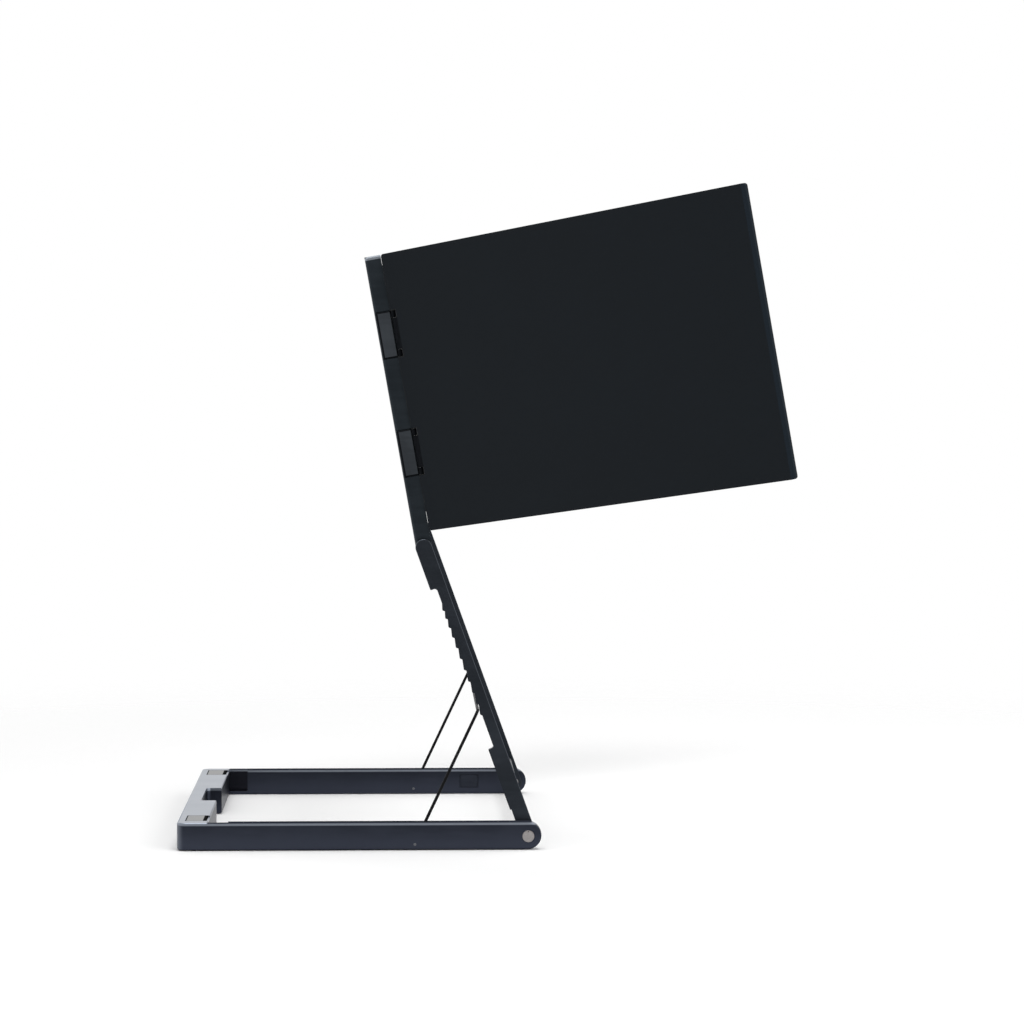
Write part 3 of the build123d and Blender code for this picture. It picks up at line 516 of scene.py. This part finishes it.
# %% Moulded shells
shell_colour = (0.0065, 0.0095, 0.0130)
bezel_colour = (0.006, 0.0065, 0.007)
button_colour = (0.02, 0.021, 0.023)
wing_bevel = 0.0036
bevel_blend = 0.0004
# How much paler the painted highlight on a wing's free bevel is.
bevel_highlight_gain = 2.2
rubbed_rougher = 0.4


def moulded(name, colour, roughness, specular, texture=0.00045, depth=0.00003, paler_share=None):
    """Black plastic with a spark texture of a grain and a depth in metres, and a share where it is paler and
    rougher, used for a painted highlight.
    """
    finish = Finish(name)
    spark = finish.noise(texture, detail=3.0, roughness=0.6)
    hands = finish.noise(size=0.06, detail=2.0)
    cloudy = (0.3 * hands + 0.7 * spark).ramp(0.3, 0.7)
    plastic = finish.vary(cloudy, colour, darkest=0.9, lightest=1.12)
    gloss = roughness + 0.05 * hands - 0.025
    if paler_share:
        share = paler_share(finish)
        plastic = finish.mix(share, plastic, tuple(channel * bevel_highlight_gain for channel in colour))
        gloss = gloss + rubbed_rougher * share
    finish.wear(Base_Color=plastic, Roughness=gloss, Specular_IOR_Level=specular,
                Normal=finish.bump(spark, depth, strength=0.7))
    return finish.material


def free_edge(node, out):
    """The function that gives the bevel along a wing's free edge."""
    edge = reach(node, out)[1] - wing_bevel
    return lambda finish: finish.along(out).ramp(edge, edge + bevel_blend)


dress(moulded("shell", shell_colour, roughness=0.5, specular=0.12), "centre_back_cover")
for name, out in wing_out.items():
    cover = f"{name}_wing_cover"
    dress(moulded(f"shell_{name}", shell_colour, roughness=0.5, specular=0.12,
                  paler_share=free_edge(cover, out)), cover)
dress(moulded("bezel", bezel_colour, roughness=0.55, specular=0.15, texture=0.0003, depth=0.00001),
      "centre_bezel", *both_sides("wing_bezel"))
dress(moulded("button_caps", button_colour, roughness=0.42, specular=0.4, texture=0.0002,
              depth=0.000006), "power_button", "menu_button", "mode_button")

# %% [markdown]
# A dark display isn't one black. The picture area lies behind a coated glass and looks a little
# bluer and lighter than the printed black border round it. Its plane leans and swings with its
# screen, so the area is found by measuring along the screen's own directions from its middle.

# %% Displays
glass_half_width = 0.17235
glass_half_height = 0.1077
black_border = 0.0035
border_blend = 0.0002
picture_half_width = glass_half_width - black_border
picture_half_height = glass_half_height - black_border
picture_colour = (0.0065, 0.0072, 0.0095)
border_colour = (0.0022, 0.0022, 0.0024)


def display(name, node, across):
    """Coated glass whose width runs along across, with smudges in its gloss."""
    finish = Finish(name)
    low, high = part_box(node)
    middle = (low + high) / 2
    wide = finish.along(across, middle).distance_to(0.0)
    tall = finish.along(screen_up, middle).distance_to(0.0)
    border = (wide.ramp(picture_half_width, picture_half_width + border_blend)
              | tall.ramp(picture_half_height, picture_half_height + border_blend))
    smudge = finish.noise(size=0.05, detail=5.0, roughness=0.6)
    finish.wear(Base_Color=finish.mix(border, picture_colour, border_colour),
                Roughness=0.12 + 0.10 * smudge.ramp(0.45, 0.75) - 0.03 * border,
                Specular_IOR_Level=0.45)
    dress(finish.material, node)


display("display_centre", "centre_panel", stand_right)
for name, out in wing_out.items():
    display(f"display_{name}", f"{name}_wing_panel", out)
print("picture area", round(2 * picture_half_width, 4), "by", round(2 * picture_half_height, 4))

# %% [markdown]
# Steel shows its making. The heads of the main pins were turned, which leaves fine rings round
# their axis, and they are a warm grey between polished and blasted. Each has a small darker nick
# above its middle.

# %% Main pins
ring_rate = 14000.0
nick_height = 0.0042
nick_radius = 0.0008
pin_shade = (0.32, 0.305, 0.30)
pin_shine = (0.45, 0.425, 0.42)
nick_colour = (0.12, 0.11, 0.105)


def turned_steel(name, node):
    """Steel with rings round an axis that runs sideways through the node's middle."""
    finish = Finish(name)
    low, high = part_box(node)
    middle = (low + high) / 2
    back = finish.along(stand_back, middle)
    up = finish.along(stand_up, middle)
    above = up - nick_height
    radius = (back * back + up * up).math("SQRT")
    rings = (radius * ring_rate).math("SINE") * 0.5 + 0.5
    spots = finish.noise(size=0.0012, detail=3.0)
    nick = (back * back + above * above).math("SQRT").ramp(nick_radius, nick_radius / 2)
    steel = finish.mix((0.6 * spots + 0.4 * rings).ramp(0.3, 0.7), pin_shade, pin_shine)
    finish.wear(Base_Color=finish.mix(nick, steel, nick_colour), Metallic=1.0,
                Roughness=0.34 + 0.12 * spots,
                Normal=finish.bump(rings + 0.6 * spots - 3.0 * nick, depth=0.00001, strength=0.7))
    dress(finish.material, node)


for name in both_sides("main_pin"):
    turned_steel(f"turned_{name}", name)

# %% [markdown]
# The other pins and the leaves of the hinges are drawn steel, with streaks along them. The prop's
# pins are a darker grey than the hinges' pins, and the leaves are blackened, so that they are lost
# in the dark gaps where they lie.

# %% Drawn steel
hinge_pin_colour = (0.42, 0.42, 0.43)
prop_pin_colour = (0.17, 0.175, 0.19)
leaf_colour = (0.0085, 0.0095, 0.0115)
along_screens = (1.0, 0.3, 0.08)
along_axis = (0.1, 1.0, 1.0)


def drawn_steel(name, colour, roughness, stretch):
    """Steel with streaks in the direction where stretch is smallest."""
    finish = Finish(name)
    streaks = finish.noise(size=0.0006, detail=3.0, stretch=stretch)
    steel = finish.vary(streaks.ramp(0.35, 0.65), colour, darkest=0.8, lightest=1.15)
    finish.wear(Base_Color=steel, Metallic=1.0, Roughness=roughness + 0.16 * streaks - 0.08,
                Normal=finish.bump(streaks, depth=0.000008, strength=0.6))
    return finish.material


dress(drawn_steel("hinge_steel", hinge_pin_colour, roughness=0.34, stretch=along_screens),
      *both_sides("lower_hinge_pin", "upper_hinge_pin", "tilt_pin"))
dress(drawn_steel("prop_steel", prop_pin_colour, roughness=0.34, stretch=along_axis),
      *both_sides("prop_pin"))
dress(drawn_steel("hinge_leaves", leaf_colour, roughness=0.42, stretch=along_screens), *leaves)

# %% [markdown]
# The prop is spring wire under a satin black coat that a powder oven left slightly wavy. The coat
# reflects little, so the wire stays black up to its edges.

# %% Coated wire
wire_black = (0.0045, 0.0048, 0.0055)
rubbed_black = (0.009, 0.0092, 0.010)


def coated_wire(name):
    """Black powder coat that is a little paler and glossier where it is worn by rubbing."""
    finish = Finish(name)
    orange_peel = finish.noise(size=0.0009, detail=2.0)
    paler_share = finish.noise(size=0.006, detail=3.0)
    finish.wear(Base_Color=finish.mix(paler_share.ramp(0.4, 0.7), wire_black, rubbed_black),
                Roughness=0.46 + 0.08 * paler_share, Specular_IOR_Level=0.08,
                Coat_Weight=0.08 * paler_share, Coat_Roughness=0.2,
                Normal=finish.bump(orange_peel, depth=0.000015, strength=0.5))
    return finish.material


dress(coated_wire("coated_wire"), "prop_wire", *both_sides("prop_eye"))

# %% [markdown]
# Rubber is the mattest black of the stand. It picks up dust, which is paler and lies in patches, so
# a noise mixes a little grey into the black. The pads in the crossbar have a smooth clear skin as
# well, and at a low angle they shine as the metal round them does. The skin ends before the slot at
# the front of a pad.

# %% Rubber
clean_rubber = (0.012, 0.0122, 0.0125)
dusty_rubber = (0.026, 0.0255, 0.025)
pad_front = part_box("right_crossbar_pad")[0].y
pad_slot = 0.0022
skin_blend = 0.0004


def rubber(name, specular, skin_front=None):
    """Dusty rubber, with a clear skin from skin_front to the back where that is given."""
    finish = Finish(name)
    pores = finish.noise(size=0.0005, detail=3.0)
    dust = finish.noise(size=0.009, detail=4.0, roughness=0.65)
    finish.wear(Base_Color=finish.mix(dust.ramp(0.5, 0.8), clean_rubber, dusty_rubber),
                Roughness=0.72 + 0.14 * dust, Specular_IOR_Level=specular,
                Normal=finish.bump(pores, depth=0.0000216, strength=0.6))
    if skin_front is not None:
        skinned = finish.along(stand_back).ramp(skin_front, skin_front + skin_blend)
        finish.wear(Coat_Weight=skinned, Coat_Roughness=0.28)
    return finish.material


dress(rubber("rubber_feet", specular=0.3), *both_sides("front_foot", "rear_foot"))
dress(rubber("smooth_pads", specular=0.0, skin_front=pad_front + pad_slot),
      *both_sides("crossbar_pad"))

# %% [markdown]
# The sockets are folded steel with a black tongue inside. The tongue belongs to the same solid, so
# it is found by its distance from the socket's middle plane.

# %% Sockets
socket_steel = (0.45, 0.45, 0.46)
tongue_black = (0.012, 0.012, 0.013)
tongue_half = 0.0004
tongue_blend = 0.0002


def socket_finish(name, node):
    """Brushed steel round a plastic tongue."""
    finish = Finish(name)
    low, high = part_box(node)
    off_plane = finish.along(screen_front, (low + high) / 2).distance_to(0.0)
    tongue = off_plane.ramp(tongue_half + tongue_blend, tongue_half)
    brushed = finish.noise(size=0.0004, detail=2.0, stretch=(0.1, 1.0, 1.0))
    finish.wear(Base_Color=finish.mix(tongue, socket_steel, tongue_black), Metallic=1.0 - tongue,
                Roughness=0.28 + 0.12 * brushed + 0.15 * tongue,
                Normal=finish.bump(brushed, depth=0.000006, strength=0.5))
    dress(finish.material, node)


for name in ("lower_usb_socket", "upper_usb_socket", "hdmi_socket"):
    socket_finish(f"{name}_steel", name)

# %% [markdown]
# The boards hide inside the screens. Their green mask lies a little higher over the copper lanes,
# which run up a board at an even spacing.

# %% Boards
lane_rate = 2600.0
mask_shade = (0.006, 0.045, 0.02)
mask_shine = (0.02, 0.09, 0.035)


def board_finish(name):
    """Green solder mask over copper lanes."""
    finish = Finish(name)
    cloudy = finish.noise(size=0.002, detail=2.0)
    lanes = (finish.along(stand_right) * lane_rate).math("SINE").ramp(0.2, 0.5)
    finish.wear(Base_Color=finish.mix(lanes * cloudy, mask_shade, mask_shine),
                Roughness=0.35 + 0.2 * cloudy,
                Normal=finish.bump(lanes, depth=0.00003, strength=0.5))
    return finish.material


dress(board_finish("solder_mask"), "control_board", *both_sides("wing_board"))

# %% [markdown]
# The studio is a white room. The floor is a wide pale sheet that fades out away from the stand, so
# it has no horizon and still keeps the stand's shadow. The camera sees it white, and everything
# else sees the grey of real paper, so it throws less light up at the stand.

# %% Floor
floor_half = 30.0
fade_start = 0.45
fade_end = 1.5
real_paper = (0.82, 0.82, 0.82)
white = (1.0, 1.0, 1.0)
floor_mesh = bpy.data.meshes.new("floor")
shaper = bmesh.new()
bmesh.ops.create_grid(shaper, x_segments=2, y_segments=2, size=floor_half)
shaper.to_mesh(floor_mesh)
shaper.free()
floor = bpy.data.objects.new("floor", floor_mesh)
bpy.context.scene.collection.objects.link(floor)
paper = Finish("floor_paper")
seen = paper.add("ShaderNodeLightPath", output="Is Camera Ray")
away = paper.add("ShaderNodeVectorMath", {"operation": "LENGTH"}, {0: paper.place()}, "Value")
paper.wear(Base_Color=paper.mix(seen, real_paper, white), Roughness=0.95, Specular_IOR_Level=0.0,
           Alpha=1.0 - away.ramp(fade_start, fade_end))
floor_mesh.materials.append(paper.material)
print("the floor fades out from", fade_start, "to", fade_end, "m")

# %% [markdown]
# The world is white for the camera. It lights the object at less than that, so that a colour
# renders about as it is written. Reflections see a white room too, dimmer on the left of the stand,
# which keeps the flat black backs black.

# %% Room
room_light = 0.62
left_dimming = 0.45
world = bpy.data.worlds.new("studio")
bpy.context.scene.world = world
world.use_nodes = True
room = Nodes(world.node_tree)
seen = room.add("ShaderNodeLightPath", output="Is Camera Ray")
mirrored = (room.add("ShaderNodeLightPath", output="Is Glossy Ray")
            | room.add("ShaderNodeLightPath", output="Is Transmission Ray"))
leftward = room.dot(room.add("ShaderNodeTexCoord", output="Generated"), -stand_right)
reflected = 1.0 - left_dimming * leftward.ramp(0.2, 0.95)
shown = room_light + mirrored * (reflected - room_light)
background = world.node_tree.nodes["Background"]
room.feed(background.inputs["Color"], white)
room.feed(background.inputs["Strength"], shown + seen * (1.0 - shown))
print("the room lights at", room_light, "and mirrors down to", round(1.0 - left_dimming, 2))

# %% [markdown]
# The three lamps are sheets of more than a metre, so their shadows are soft and none makes a hard
# spot. The top one is the strongest, the side one lights the left and the front of the stand, and
# the weak rear one reaches the faces that turn away from both.

# %% Lamps
def soft_lamp(name, place, target, size, power):
    """A rectangular lamp that shines from a place at a target. The power is in watts."""
    data = bpy.data.lights.new(name, "AREA")
    data.shape = "RECTANGLE"
    data.size, data.size_y = size
    data.energy = power
    set_down(bpy.data.objects.new(name, data), place, Vector(target) - Vector(place))
    print(name, "of", power, "W")


soft_lamp("top_lamp", place=(-0.3, 0.0, 2.6), target=(0.0, 0.0, 0.1), size=(1.8, 1.8), power=34.0)
soft_lamp("side_lamp", place=(-2.4, -2.2, 2.0), target=(0.0, 0.0, 0.25), size=(1.6, 1.6), power=20.0)
soft_lamp("rear_lamp", place=(3.4, 1.2, 1.6), target=(0.0, 0.2, 0.1), size=(2.4, 1.6), power=4.0)
